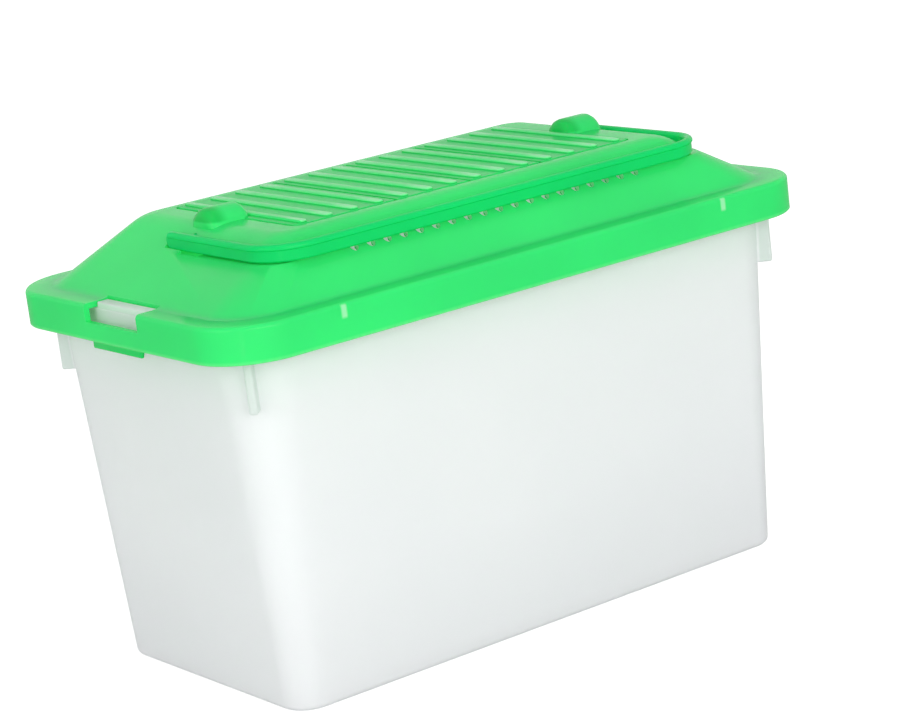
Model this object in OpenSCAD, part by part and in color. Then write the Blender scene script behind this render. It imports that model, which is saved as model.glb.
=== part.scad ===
// Small plastic pet keeper: a tapered see-through tank, a vented lid that clips over its rim and a folding carry handle.
// X runs along the length, Y across the width, Z up; the tank stands on z = 0, centred on the Z axis.

/* [Lid] */
// Overall length, across the lid's skirt
lid_l = 150; // [135:1:175]
// Overall width, across the lid's skirt
lid_w = 88; // [80:1:105]
// Corner radius of the skirt
lid_r = 13.6; // [9:0.2:16]
// Wall thickness of the lid
lid_wall = 1.2; // [0.9:0.1:1.6]
// Height of the skirt, from its lower edge to the flat ledge
skirt_h = 7.6; // [6.5:0.1:10]
// Radius along the skirt's top edge
skirt_edge_r = 0.9; // [0.4:0.1:1.1]
// Width of the flat ledge outside the slope
ledge_w = 5.3; // [4.5:0.1:7]
// Corner radius where the slope leaves the ledge
slope_r = 11; // [8:0.5:12]

/* [Raised top] */
// Height of the raised top above the ledge
top_rise = 12; // [10:0.5:15]
// Run of the slope on the long sides
side_run = 12.2; // [11:0.2:13]
// Run of the slope at the short ends
end_run = 19.5; // [17.5:0.5:22]
// Corner radius of the raised top
top_r = 4; // [3:0.5:7]
// Chamfer round the raised top's edge
top_chamfer = 0.6; // [0.3:0.1:1]

/* [Ribbed panel] */
// Border between the panel and the raised top's edge at the short ends
panel_end_border = 6.8; // [6:0.1:9]
// Border between the panel and the raised top's edge on the long sides
panel_side_border = 4; // [3:0.25:6]
// How far the panel stands above the raised top
panel_h = 0.4; // [0.2:0.1:0.8]
// Number of cross ribs on the panel
rib_count = 14; // [8:1:18]
// Spacing of the cross ribs
rib_pitch = 6.25; // [4:0.05:6.5]
// Width of one cross rib
rib_w = 2.2; // [1:0.1:2.6]
// Height of a cross rib above the panel
rib_h = 0.5; // [0.3:0.1:0.8]
// Distance between a rib's end and the panel's edge
rib_margin = 1.6; // [0.8:0.1:3]
// Number of narrow grooves that divide the panel
groove_count = 3; // [1:1:5]
// Spacing of the dividing grooves
groove_pitch = 18.75; // [12:0.25:20]
// Width of a dividing groove
groove_w = 0.8; // [0.4:0.1:1.2]

/* [Vent slots] */
// Number of vent slots along each long side
slot_count = 19; // [9:1:23]
// Spacing of the vent slots
slot_pitch = 4.02; // [3:0.02:4.2]
// Width of one vent slot
slot_w = 2; // [1:0.1:2.2]
// Distance between the raised top's edge and a slot's upper end, seen from above
slot_inset = 2.1; // [0.6:0.1:2.4]
// Length of a slot, seen from above
slot_l = 3.6; // [3:0.1:6]

/* [Latches] */
// Width of the window over each latch
window_w = 20; // [14:0.5:24]
// Height of the window in the skirt
window_h = 3.7; // [2.6:0.1:4]
// Width of the latch tongue
tongue_w = 18.5; // [12:0.5:22]
// How far the tongue hangs below the skirt
tongue_drop = 1.5; // [0.8:0.1:2.5]
// Thickness that the tongue's hook adds inside the skirt
hook_t = 1.1; // [0.6:0.1:1.2]
// Height of the hook's thick part
hook_h = 3.2; // [2:0.1:3.6]

// Width of the rim's tab in the window, from its outer face inwards
tab_t = 2.8; // [1.5:0.1:3]
// Height of the tab above the rim
tab_h = 1.1; // [0.5:0.1:1.5]
// Clearance between the tab and the window's edges
tab_clear = 0.4; // [0.3:0.05:0.8]

/* [Tank] */
// Height of the tank, from the table to the top of its rim
tank_h = 80.7; // [65:0.1:110]
// Wall thickness of the tank
tank_wall = 1.3; // [1:0.1:1.8]
// Thickness of the tank's floor
floor_t = 1.6; // [1.2:0.1:2.4]
// Corner radius of the tank's bottom
tank_r = 6.3; // [5:0.1:9]
// Draft of the walls, in degrees
draft = 3.5; // [2:0.1:5]
// Radius along the bottom's outer edge
foot_edge_r = 1.4; // [0.6:0.1:2]
// Width of the ring that the tank stands on
foot_ring_w = 5; // [3:0.5:8]
// Depth of the hollow inside that ring
foot_hollow = 0.4; // [0.2:0.1:0.6]
// Gap between the tank's rim and the inside of the lid's skirt
rim_gap = 1.6; // [1.3:0.1:2]
// How far the rim stands out from the wall
rim_out = 2.9; // [2:0.1:3.5]
// Height of the rim's turned-down lip
lip_h = 3.9; // [2.5:0.1:5]
// Thickness of the rim and its lip
rim_t = 1.2; // [0.9:0.1:1.6]
// Thickness of a corner fin
fin_t = 1.8; // [1:0.1:2.5]
// How far a corner fin stands out from the wall at its lower end
fin_out = 3.2; // [2:0.1:4]
// Height of a corner fin's lower end below the tank's top
fin_drop = 17.5; // [12:0.5:22]
// Chamfer at the lower end of a fin
fin_chamfer = 1; // [0.4:0.1:1.6]

/* [Carry handle] */
// Distance between the raised top and the inside of the handle's long bar, seen from above
bar_offset = 5.2; // [4.9:0.1:6]
// Distance between the raised top and the inside of the handle's arms, seen from above
arm_gap = 4.5; // [4:0.1:5.5]
// Thickness of the handle's bars, seen from above
bar_t = 1.9; // [1.5:0.1:2.2]
// Depth of the handle's bars, up and down
bar_h = 3.6; // [3:0.1:3.8]
// How far the handle's upper face lies below the raised top
handle_drop = 0.85; // [0.5:0.05:1.2]
// Radius of the handle's two outer corners
handle_r = 10; // [6:0.5:11]
// How far the band along the handle's upper outer edge stands proud
band_t = 0.3; // [0.1:0.05:0.4]
// Height of that band
band_h = 1.2; // [0.6:0.1:1.5]
// How far each arm runs on past its pivot
tail_l = 6; // [4:0.25:6.5]
// Diameter of the pivot pins
pin_d = 2.3; // [1.6:0.1:2.6]
// Length of a pin inside its lug
pin_grip = 3.4; // [2:0.1:5]
// Radial clearance of a pin in its bore
pin_clear = 0.06; // [0.04:0.01:0.1]

/* [Pivot lugs] */
// Radius of the half-round lugs
lug_r = 4.7; // [4:0.1:5.5]
// Length of a lug
lug_l = 9.6; // [7:0.2:12]
// How far a lug's outer face stands past the raised top's edge
lug_out = 1; // [0:0.1:1.5]
// Height of the lugs' top above the raised top
lug_rise = 3.1; // [2:0.1:4]
// Clearance between the handle and its seat and pockets in the lid
seat_clear = 0.4; // [0.3:0.05:0.6]

/* [Hidden] */
$fn = 64;
hull_fn = 32;
eps = 0.02;

tank_colour = [0.90, 0.94, 0.93, 0.55];
lid_colour = [0.20, 0.86, 0.42, 0.9];

// heights, all measured from the table
ledge_z = tank_h + lid_wall;
skirt_z = ledge_z - skirt_h;
top_z = ledge_z + top_rise;
panel_z = top_z + panel_h;

// the slope: its foot on the ledge and the raised top
slope_l = lid_l - 2 * ledge_w;
slope_w = lid_w - 2 * ledge_w;
top_l = slope_l - 2 * end_run;
top_w = slope_w - 2 * side_run;
wall_inset = 0.4 * lid_wall;

// the ribbed panel
panel_l = top_l - 2 * panel_end_border;
panel_w = top_w - 2 * panel_side_border;
panel_r = top_r / 2;

// the tank: its rim follows the lid, its bottom follows its rim
rim_l = lid_l - 2 * (lid_wall + rim_gap);
rim_w = lid_w - 2 * (lid_wall + rim_gap);
taper = tan(draft);
wall_top_z = tank_h - rim_t;
function wall_u(z) = tank_r + taper * z;
rim_u = wall_u(wall_top_z) + rim_out;
// centres of the corner radii, to a fiftieth of a millimetre so that swept pieces meet exactly
corner_x = round(50 * (rim_l / 2 - rim_u)) / 50;
corner_y = round(50 * (rim_w / 2 - rim_u)) / 50;
base_l = 2 * (corner_x + tank_r);
base_w = 2 * (corner_y + tank_r);
fin_z = tank_h - fin_drop;

// the handle: it lies level, a little below the raised top
pivot_z = top_z - handle_drop - bar_h / 2;
handle_w = top_w / 2 + bar_offset + bar_t;
handle_l = top_l + 2 * (arm_gap + bar_t);
arm_x = handle_l / 2 - bar_t;
lug_x = top_l / 2 + lug_out;
lug_z = top_z + lug_rise - lug_r;
pin_x = lug_x - pin_grip;

// the step that the folded handle lies in, and the pockets that its arms' ends turn in
seat_z = pivot_z - bar_h / 2 - 0.25;
seat_l = 2 * (arm_x - seat_clear);
seat_w = 2 * (handle_w - bar_t - seat_clear);
seat_r = handle_r - bar_t - seat_clear;
pocket_r = tail_l + seat_clear;

// a rectangle with round corners
module rounded_rect(l, w, r) {
    square([l - 2 * r, w], center = true);
    square([l, w - 2 * r], center = true);
    for (sx = [-1, 1], sy = [-1, 1])
        translate([sx * (l / 2 - r), sy * (w / 2 - r)]) circle(r);
}

// a thin slice of the sloping body, as an outline for hull()
module slice(l, w, r, z) {
    translate([0, 0, z - eps]) linear_extrude(eps) rounded_rect(l, w, r, $fn = hull_fn);
}

// sweeps a profile (x outwards from the corner centre, y up) round a rounded rectangle
module swept_wall(cx, cy) {
    for (i = [0:3]) {
        sx = (i == 0 || i == 3) ? 1 : -1;
        sy = i < 2 ? 1 : -1;
        translate([sx * cx, sy * cy, 0]) rotate([0, 0, 90 * i])
            rotate_extrude(angle = 90) children();
    }
    for (side = [0, 180]) {
        rotate([0, 0, side]) translate([cx, cy, 0]) rotate([90, 0, 0])
            linear_extrude(2 * cy) children();
        rotate([0, 0, side]) translate([-cx, cy, 0]) rotate([90, 0, 90])
            linear_extrude(2 * cx) children();
    }
}

// a plate with round corners whose top edge is rounded too
module soft_plate(l, w, r, h, edge) {
    translate([0, 0, -h]) linear_extrude(h - edge) rounded_rect(l, w, r);
    translate([0, 0, -h]) linear_extrude(h) rounded_rect(l - 2 * edge, w - 2 * edge, r - edge);
    translate([0, 0, -edge]) swept_wall(l / 2 - r, w / 2 - r)
        intersection() {
            translate([r - edge, 0]) circle(edge);
            translate([0, -eps]) square(r);
        }
}

// ---- tank ----

// cross-section of floor, wall, rim and lip
module tank_profile() {
    difference() {
        union() {
            // floor and wall, with a round outer edge at the bottom
            polygon([
                [0, 0],
                [tank_r - foot_edge_r, 0],
                [tank_r + taper * foot_edge_r, foot_edge_r],
                [wall_u(tank_h), tank_h],
                [wall_u(tank_h) - tank_wall, tank_h],
                [wall_u(floor_t + foot_hollow) - tank_wall, floor_t + foot_hollow],
                [0, floor_t + foot_hollow]
            ]);
            intersection() {
                translate([tank_r - foot_edge_r + taper * foot_edge_r, foot_edge_r]) circle(foot_edge_r);
                square([rim_u, foot_edge_r]);
            }
            // rim and its turned-down lip
            translate([wall_u(wall_top_z) - tank_wall / 2, wall_top_z])
                square([rim_out + tank_wall / 2, rim_t]);
            translate([rim_u - rim_t, tank_h - lip_h]) square([rim_t, lip_h]);
        }
    }
}

// a fin that stacks empty tanks apart, along one corner's diagonal
module corner_fin() {
    z1 = wall_top_z + rim_t / 2;
    u_in0 = wall_u(fin_z) - tank_wall / 2;
    u_in1 = wall_u(z1) - tank_wall / 2;
    u_out = wall_u(fin_z) + fin_out;
    rotate([90, 0, 0]) linear_extrude(fin_t, center = true) polygon([
        [u_in0, fin_z],
        [u_out - fin_chamfer, fin_z],
        [u_out, fin_z + fin_chamfer],
        [u_out, z1],
        [u_in1, z1]
    ]);
}

// the tab on one end of the rim, which stands in the lid's window
module rim_tab() {
    w = window_w - 2 * tab_clear;
    translate([rim_l / 2 - tab_t, -w / 2, tank_h - rim_t / 2]) cube([tab_t - 0.1, w, tab_h + rim_t / 2]);
}

module tank() {
    color(tank_colour) difference() {
        union() {
            swept_wall(corner_x, corner_y) tank_profile();
            translate([0, 0, (floor_t + foot_hollow) / 2])
                cube([2 * corner_x, 2 * corner_y, floor_t + foot_hollow], center = true);
            for (i = [0:3]) {
                sx = (i == 0 || i == 3) ? 1 : -1;
                sy = i < 2 ? 1 : -1;
                translate([sx * corner_x, sy * corner_y, 0]) rotate([0, 0, 45 + 90 * i]) corner_fin();
            }
            for (side = [0, 180]) rotate([0, 0, side]) rim_tab();
        }
        // the hollow inside the standing ring
        translate([0, 0, -eps]) linear_extrude(foot_hollow + eps)
            rounded_rect(base_l - 2 * foot_ring_w, base_w - 2 * foot_ring_w, tank_r / 2);
    }
}

// ---- lid ----

// skirt, ledge and hipped slope up to the raised top, as a full solid
module lid_outer() {
    translate([0, 0, ledge_z]) soft_plate(lid_l, lid_w, lid_r, skirt_h, skirt_edge_r);
    hull() {
        slice(slope_l, slope_w, slope_r, ledge_z);
        slice(top_l, top_w, top_r, top_z - top_chamfer);
        slice(top_l - 2 * top_chamfer, top_w - 2 * top_chamfer, top_r - top_chamfer, top_z);
    }
}

// the space under the lid, one wall inside lid_outer()
module lid_inner() {
    d = 2 * wall_inset;
    translate([0, 0, skirt_z - 1]) linear_extrude(tank_h - skirt_z + 1)
        rounded_rect(lid_l - 2 * lid_wall, lid_w - 2 * lid_wall, lid_r - lid_wall);
    hull() {
        slice(slope_l - d, slope_w - d, slope_r, ledge_z - lid_wall);
        slice(top_l - d, top_w - d, top_r, top_z - lid_wall - top_chamfer);
        slice(top_l - d - 2 * top_chamfer, top_w - d - 2 * top_chamfer, top_r - top_chamfer,
            top_z - lid_wall);
    }
}

// a cylinder along X between two distances from the middle, at the pivot's height
module pivot_rod(x0, x1, r, z = pivot_z) {
    translate([x0, 0, z]) rotate([0, 90, 0]) cylinder(h = x1 - x0, r = r);
}

// all that lies outside a rounded rectangle, above a height and up to a line along X
module outside_of(l, w, r, z, y) {
    translate([0, 0, z]) linear_extrude(top_z - z + 5) difference() {
        translate([-lid_l / 2 - 5, -lid_w / 2 - 5]) square([lid_l + 10, lid_w / 2 + 5 + y]);
        rounded_rect(l, w, r);
    }
}

// what thickens the lid under one pivot: the bore's boss and the walls of the arm's pocket
module pivot_mass() {
    pivot_rod(lug_x - lug_l, arm_x, pin_d / 2 + 1.4);
    pivot_rod(arm_x - seat_clear - lid_wall, arm_x + bar_t + seat_clear + lid_wall, pocket_r + lid_wall);
}

// the raised panel with its cross ribs and dividing grooves
module ribbed_panel() {
    difference() {
        translate([0, 0, top_z - eps]) linear_extrude(panel_h + eps) rounded_rect(panel_l, panel_w, panel_r);
        for (i = [0:groove_count - 1])
            translate([(i - (groove_count - 1) / 2) * groove_pitch - groove_w / 2, -panel_w / 2, top_z])
                cube([groove_w, panel_w, panel_h + eps]);
    }
    rib_l = panel_w - 2 * rib_margin - rib_w;
    for (i = [0:rib_count - 1])
        translate([(i - (rib_count - 1) / 2) * rib_pitch, 0, top_z]) {
            linear_extrude(panel_h + rib_h) square([rib_w, rib_l], center = true);
            for (sy = [-1, 1]) translate([0, sy * rib_l / 2, 0]) cylinder(h = panel_h + rib_h, d = rib_w);
        }
}

// one row of vent slots, cut straight down through the slope
module vent_row() {
    inner_y = top_w / 2 + slot_inset + slot_w / 2;
    outer_y = inner_y + slot_l - slot_w;
    for (i = [0:slot_count - 1])
        translate([(i - (slot_count - 1) / 2) * slot_pitch, 0, ledge_z]) {
            translate([-slot_w / 2, inner_y, 0]) cube([slot_w, outer_y - inner_y, top_rise + 1]);
            translate([0, inner_y, 0]) cylinder(h = top_rise + 1, d = slot_w, $fn = 24);
            translate([0, outer_y, 0]) cylinder(h = top_rise + 1, d = slot_w, $fn = 24);
        }
}

// the hook of one latch: a thick strip under the window, ending in a tongue below the skirt
module latch_hook() {
    face = lid_l / 2 - lid_wall - hook_t;
    rotate([90, 0, 0]) linear_extrude(tongue_w, center = true) polygon([
        [lid_l / 2, skirt_z - tongue_drop],
        [lid_l / 2, skirt_z + hook_h],
        [face + hook_t / 2, skirt_z + hook_h],
        [face, skirt_z + hook_h - hook_t],
        [face, skirt_z + 0.6],
        [lid_l / 2 - lid_wall, skirt_z - tongue_drop]
    ]);
}

// the window over one latch, through the ledge and the top of the skirt
module latch_window() {
    depth = lid_l / 2 - (rim_l / 2 - tab_t - tab_clear);
    translate([lid_l / 2 - depth, -window_w / 2, ledge_z - window_h]) cube([depth + 1, window_w, window_h + 1]);
}

module lid() {
    color(lid_colour) difference() {
        union() {
            difference() {
                lid_outer();
                difference() {
                    lid_inner();
                    for (side = [0, 180]) rotate([0, 0, side]) pivot_mass();
                    outside_of(seat_l - 2 * lid_wall, seat_w - 2 * lid_wall, seat_r, seat_z - lid_wall, lid_wall);
                }
                outside_of(seat_l, seat_w, seat_r, seat_z, 0);
            }
            for (side = [0, 180]) rotate([0, 0, side]) {
                pivot_rod(lug_x - lug_l, lug_x, lug_r, lug_z);
                latch_hook();
            }
            ribbed_panel();
        }
        for (side = [0, 180]) rotate([0, 0, side]) {
            pivot_rod(pin_x - 0.4, arm_x, pin_d / 2 + pin_clear);
            pivot_rod(arm_x - seat_clear, arm_x + bar_t + seat_clear, pocket_r);
            latch_window();
            vent_row();
        }
    }
}

// ---- carry handle ----

// outline of the handle seen from above, as a U with its open side at the pivots
module handle_outline(l, w, r, back) {
    difference() {
        translate([0, -w / 2]) rounded_rect(l, w, r);
        translate([-l, back]) square([2 * l, w]);
    }
    translate([-l / 2, -r - 1]) square([l, back + r + 1]);
}

// one layer of the handle between two heights, its outer face set in by a distance
module handle_layer(z0, z1, inset) {
    l = handle_l - 2 * inset;
    w = handle_w - inset;
    t = bar_t - inset;
    translate([0, 0, z0]) linear_extrude(z1 - z0) difference() {
        handle_outline(l, w, handle_r - inset, tail_l - bar_h / 2);
        handle_outline(l - 2 * t, w - t, handle_r - bar_t, tail_l);
    }
}

module carry_handle() {
    z1 = pivot_z + bar_h / 2;
    z0 = pivot_z - bar_h / 2;
    color(lid_colour) {
        handle_layer(z1 - band_h, z1, 0);
        handle_layer(z0, z1 - band_h, band_t);
        for (side = [0, 180]) rotate([0, 0, side]) pivot_rod(pin_x, arm_x + bar_t / 2, pin_d / 2);
        for (sx = [-1, 1]) translate([sx * (arm_x + (bar_t - band_t) / 2), 0, pivot_z])
            translate([0, tail_l - bar_h / 2, 0]) rotate([0, 90, 0])
                cylinder(h = bar_t - band_t, r = bar_h / 2, center = true);
    }
}

tank();
lid();
carry_handle();
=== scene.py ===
# %% [markdown]
# # A small pet keeper
# A pet keeper is a cheap moulded box for insects and other small animals. It has three parts:
# a milky tank, a green lid that clips over the tank's rim, and a green carry handle.
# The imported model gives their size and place, so each part is dressed where it already stands.

# %% Load the frame
import math

import bmesh
import bpy
from mathutils import Matrix, Vector


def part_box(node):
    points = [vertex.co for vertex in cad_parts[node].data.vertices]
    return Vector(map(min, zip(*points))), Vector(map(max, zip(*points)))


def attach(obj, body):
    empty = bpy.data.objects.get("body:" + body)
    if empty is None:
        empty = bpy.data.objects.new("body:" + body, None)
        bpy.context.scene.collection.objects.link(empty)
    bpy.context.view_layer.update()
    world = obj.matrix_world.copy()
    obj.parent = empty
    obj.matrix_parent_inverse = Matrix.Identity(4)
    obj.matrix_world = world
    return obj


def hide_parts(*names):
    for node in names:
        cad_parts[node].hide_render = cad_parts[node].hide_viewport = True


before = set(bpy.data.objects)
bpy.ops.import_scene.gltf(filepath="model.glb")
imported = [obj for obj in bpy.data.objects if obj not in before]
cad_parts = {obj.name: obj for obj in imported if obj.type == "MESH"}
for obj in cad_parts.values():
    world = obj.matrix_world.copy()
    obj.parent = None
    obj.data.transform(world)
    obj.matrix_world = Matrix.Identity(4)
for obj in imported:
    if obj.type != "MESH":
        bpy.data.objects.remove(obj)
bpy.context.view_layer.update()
MM = 0.001
tank_low, tank_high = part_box("tank")
lid_low, lid_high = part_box("lid")
handle_low, handle_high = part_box("carry_handle")
print("tank", tank_low, tank_high)
print("lid", lid_low, lid_high)
print("handle", handle_low, handle_high)

# %% [markdown]
# ## The sizes that the parts share
# The lid is drawn from the outside inwards: a skirt, a flat ledge, a slope and a raised top.
# Its sizes are kept as half lengths, because every outline here is centred on the Z axis.
# They are in millimetres, and each helper turns them into metres at the last moment.

# %% Sizes of the lid
WALL = 1.2
TAB_H, TAB_T, TAB_CLEAR = 1.1, 2.8, 0.4
RIM_X, RIM_Y, RIM_Z = tank_high.x / MM, tank_high.y / MM, tank_high.z / MM - TAB_H
SKIRT_X, SKIRT_Y, SKIRT_R = lid_high.x / MM, lid_high.y / MM, 13.6
LEDGE_Z = RIM_Z + WALL
SKIRT_Z = LEDGE_Z - 7.6
LEDGE_W, END_RUN, SIDE_RUN, RISE = 5.3, 19.5, 12.2, 12.0
FOOT_X, FOOT_Y, FOOT_R = SKIRT_X - LEDGE_W, SKIRT_Y - LEDGE_W, 11.0
TOP_X, TOP_Y, TOP_R = FOOT_X - END_RUN, FOOT_Y - SIDE_RUN, 4.0
TOP_Z = LEDGE_Z + RISE
PANEL_X, PANEL_Y, PANEL_R = TOP_X - 6.8, TOP_Y - 4.0, 2.0
LUG_L, LUG_R, LUG_RISE, LUG_OUT = 9.6, 4.7, 3.1, 1.0
LUG_X, LUG_Z = TOP_X + LUG_OUT, TOP_Z + LUG_RISE - LUG_R
print("ledge", FOOT_X, FOOT_Y, LEDGE_Z, "raised top", TOP_X, TOP_Y, TOP_Z)

# %% [markdown]
# The folded handle lies in a step of the lid, so the step is worked out from the handle's box
# and a clearance. The pins' bores and the pockets for the arms' ends follow the pivot.

# %% Sizes of the handle and its step
PIVOT_Z = (handle_low.z + handle_high.z) / 2 / MM
ARM_X, BAR_Y, BAR_T = handle_high.x / MM, -handle_low.y / MM, 1.9
CLEAR = 0.4
SEAT_X, SEAT_Y, SEAT_R = ARM_X - BAR_T - CLEAR, BAR_Y - BAR_T - CLEAR, 7.7
SEAT_Z = handle_low.z / MM - 0.25
PIN_R, BORE_R, POCKET_R = 1.15, 1.21, 6.4
PIN_IN, BORE_IN = 3.4, 3.8
print("pivot", PIVOT_Z, "handle", ARM_X, BAR_Y, "step", SEAT_X, SEAT_Y, SEAT_Z)

# %% [markdown]
# ## Lofting a moulded shell from rings
# A moulded box is a stack of rounded rectangles, each a little larger or smaller than the last.
# A square whose corners are bevelled gives the first ring. Each vertex remembers its corner and
# its angle, so a ring that is extruded from it can be sent to any other length, width, radius
# and height. Extruding keeps the shell watertight, which a see-through plastic needs.

# %% The first ring
TANK_STEPS, LID_STEPS, CUTTER_STEPS = 14, 16, 12


def first_ring(bm, steps):
    made = bmesh.ops.create_grid(bm, x_segments=1, y_segments=1, size=1.0)
    bmesh.ops.bevel(bm, geom=made["verts"], offset=0.5, segments=steps, profile=0.5,
                    affect="VERTICES", material=-1)
    corner_x = bm.verts.layers.float.new("corner_x")
    corner_y = bm.verts.layers.float.new("corner_y")
    turn = bm.verts.layers.float.new("turn")
    for v in bm.verts:
        v[corner_x] = math.copysign(1, v.co.x)
        v[corner_y] = math.copysign(1, v.co.y)
        v[turn] = math.atan2(v.co.y - v[corner_y] / 2, v.co.x - v[corner_x] / 2)
    return list(bm.faces)[0]


print("steps round a corner: tank", TANK_STEPS, "lid", LID_STEPS, "cutters", CUTTER_STEPS)

# %% [markdown]
# Lofting then repeats one move: extrude the end face, take the old one away and send the new one
# to its ring. The very first face stays, so the finished stack is closed at both ends.

# %% Loft helpers
SHARP_ANGLE = math.radians(32)


def send(bm, verts, half_x, half_y, radius, z):
    """Moves a ring's vertices to a rounded rectangle of another size and height."""
    corner_x = bm.verts.layers.float["corner_x"]
    corner_y = bm.verts.layers.float["corner_y"]
    turn = bm.verts.layers.float["turn"]
    for v in verts:
        x = v[corner_x] * (half_x - radius) + radius * math.cos(v[turn])
        y = v[corner_y] * (half_y - radius) + radius * math.sin(v[turn])
        v.co = Vector((x, y, z)) * MM


def end_face(made, key="geom"):
    return [g for g in made[key] if isinstance(g, bmesh.types.BMFace)][0]


def loft(bm, rings, steps):
    """Stacks rings of (half_x, half_y, radius, z) and closes both ends."""
    face = first_ring(bm, steps)
    send(bm, face.verts, *rings[0])
    for i, ring in enumerate(rings[1:]):
        made = bmesh.ops.extrude_face_region(bm, geom=[face])
        if i:
            bm.faces.remove(face)  # the first face stays, as the lower end
        face = end_face(made)
        send(bm, face.verts, *ring)
    bmesh.ops.recalc_face_normals(bm, faces=bm.faces)
    print("lofted", len(rings), "rings")


def to_object(bm, name):
    """Turns a mesh that is being built into an object, smooth but for its sharp edges."""
    mesh = bpy.data.meshes.new(name)
    bm.to_mesh(mesh)
    bm.free()
    obj = bpy.data.objects.new(name, mesh)
    bpy.context.scene.collection.objects.link(obj)
    mesh.shade_smooth()
    mesh.set_sharp_from_angle(angle=SHARP_ANGLE)
    return obj


print("edges sharper than", round(math.degrees(SHARP_ANGLE)), "degrees stay sharp")

# %% [markdown]
# ## The tank's section
# The real tank is one thin, tapered wall with a turned-down rim. All its corners are centred on
# the same four points, so a ring of it needs only its corner radius and its height. The wall
# leans out by a few degrees, because the tank has to slide off its mould.

# %% Tank section
TAPER = math.tan(math.radians(3.5))
RIM_R = 14.0587
CORNER_X, CORNER_Y = round(50 * (RIM_X - RIM_R)) / 50, round(50 * (RIM_Y - RIM_R)) / 50
TANK_WALL = 1.3
BASE_R, BASE_FLAT_R, BASE_EDGE_R = 6.3, 5.0, 1.4
RIM_T, RIM_WALL, RIM_EDGE_R, LIP_H = 1.3, 1.2, 0.5, 3.9


def tank_ring(u, z):
    """A ring with corner radius u, which is also its distance past the corners' centres."""
    return (CORNER_X + u, CORNER_Y + u, u, z)


def wall_u(z):
    return BASE_R + TAPER * z


def quarter(steps, start=0):
    """The angles of a quarter turn, for a round edge."""
    return [math.pi / 2 * i / steps for i in range(start, steps + 1)]


print("corner centres", CORNER_X, CORNER_Y, "base", CORNER_X + BASE_R, CORNER_Y + BASE_R)

# %% [markdown]
# ## The tank's shell
# A solid block with a hollow cut out of it would do, but here the section is gone round once:
# from the middle of the underside out, up, over the rim and back down inside. That makes a wall
# with a true thickness, so light passes two surfaces, as it does in the real plastic.

# %% Tank shell
rim_u = RIM_X - CORNER_X
rim_in = rim_u - RIM_WALL
lip_z = RIM_Z - LIP_H
under_rim_z = RIM_Z - RIM_T
inner_u = wall_u(RIM_Z) - TANK_WALL

standing_ring = [tank_ring(1.4, 0.4), tank_ring(1.5, 0.1), tank_ring(1.7, 0.0)]
bottom_edge = [tank_ring(BASE_FLAT_R + BASE_EDGE_R * math.sin(a),
                         BASE_EDGE_R - BASE_EDGE_R * math.cos(a)) for a in quarter(6)]
outer_wall = [tank_ring(wall_u(z), z) for z in (20, 40, 60, RIM_Z - 2.2)]
under_rim = [tank_ring(wall_u(RIM_Z) + 0.5, under_rim_z), tank_ring(rim_u - 1.5, under_rim_z),
             tank_ring(rim_in, RIM_Z - 1.6)]
lip = [tank_ring(rim_in, lip_z + 0.3), tank_ring(rim_u - 1.0, lip_z),
       tank_ring(rim_u - 0.2, lip_z), tank_ring(rim_u, lip_z + 0.3)]
rim_edge = [tank_ring(rim_u - RIM_EDGE_R * (1 - math.cos(a)),
                      RIM_Z - RIM_EDGE_R + RIM_EDGE_R * math.sin(a)) for a in quarter(4)]
mouth = [tank_ring(inner_u + 0.4, RIM_Z), tank_ring(inner_u, RIM_Z - 0.4)]
inner_wall = [tank_ring(wall_u(z) - TANK_WALL, z) for z in (60, 40, 20, 4.5)]
floor_edge = [tank_ring(wall_u(3) - TANK_WALL - 0.4, 3.0), tank_ring(wall_u(2) - TANK_WALL - 1.6, 2.0)]

bm = bmesh.new()
loft(bm, standing_ring + bottom_edge + outer_wall + under_rim + lip + rim_edge + mouth + inner_wall
     + floor_edge, TANK_STEPS)
tank = to_object(bm, "clear_tank")
print("rim", rim_u, "lip", lip_z)

# %% [markdown]
# ## Boxes and booleans
# The small forms of both mouldings are boxes and rods with rounded edges. They are made as closed
# shapes and then joined or cut by a boolean, which keeps the whole part one closed skin. Each
# boolean is applied at once, and prints whether the result is still closed.

# %% Boxes and booleans
BOX_STEPS = 3


def cut_or_join(target, tool, operation):
    """Runs one boolean, keeps its result and removes the tool."""
    mod = target.modifiers.new("boolean", "BOOLEAN")
    mod.solver = "MANIFOLD"
    mod.operation = operation
    mod.object = tool
    bpy.context.view_layer.update()
    result = bpy.data.meshes.new_from_object(target.evaluated_get(bpy.context.evaluated_depsgraph_get()))
    target.modifiers.clear()
    old = target.data
    target.data = result
    bpy.data.meshes.remove(old)
    bpy.data.objects.remove(tool)
    bm = bmesh.new()
    bm.from_mesh(result)
    open_edges = sum(1 for e in bm.edges if not e.is_manifold)
    print(operation, target.name, "faces", len(bm.faces), "open edges", open_edges,
          "volume", round(bm.calc_volume() * 1e9))
    bm.free()


def box_mesh(bm, low, high, edge=0.0):
    """A box between two corners in millimetres, with all its edges rounded by edge."""
    low, high = Vector(low) * MM, Vector(high) * MM
    made = bmesh.ops.create_cube(bm, size=1.0)
    bmesh.ops.scale(bm, verts=made["verts"], vec=high - low)
    bmesh.ops.translate(bm, verts=made["verts"], vec=(high + low) / 2)
    if edge:
        edges = list({e for v in made["verts"] for e in v.link_edges})
        bmesh.ops.bevel(bm, geom=edges, offset=edge * MM, segments=BOX_STEPS, profile=0.5,
                        affect="EDGES", material=-1)


print("steps round a box's edge", BOX_STEPS)

# %% [markdown]
# ## The tank's fins
# Under the rim, each corner has a short upright fin. Empty tanks stack on these fins, so they
# don't jam in each other. A fin is a slim bar with round edges that sinks into the wall. It is
# made once along X and then turned and moved to each corner's centre.

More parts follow.
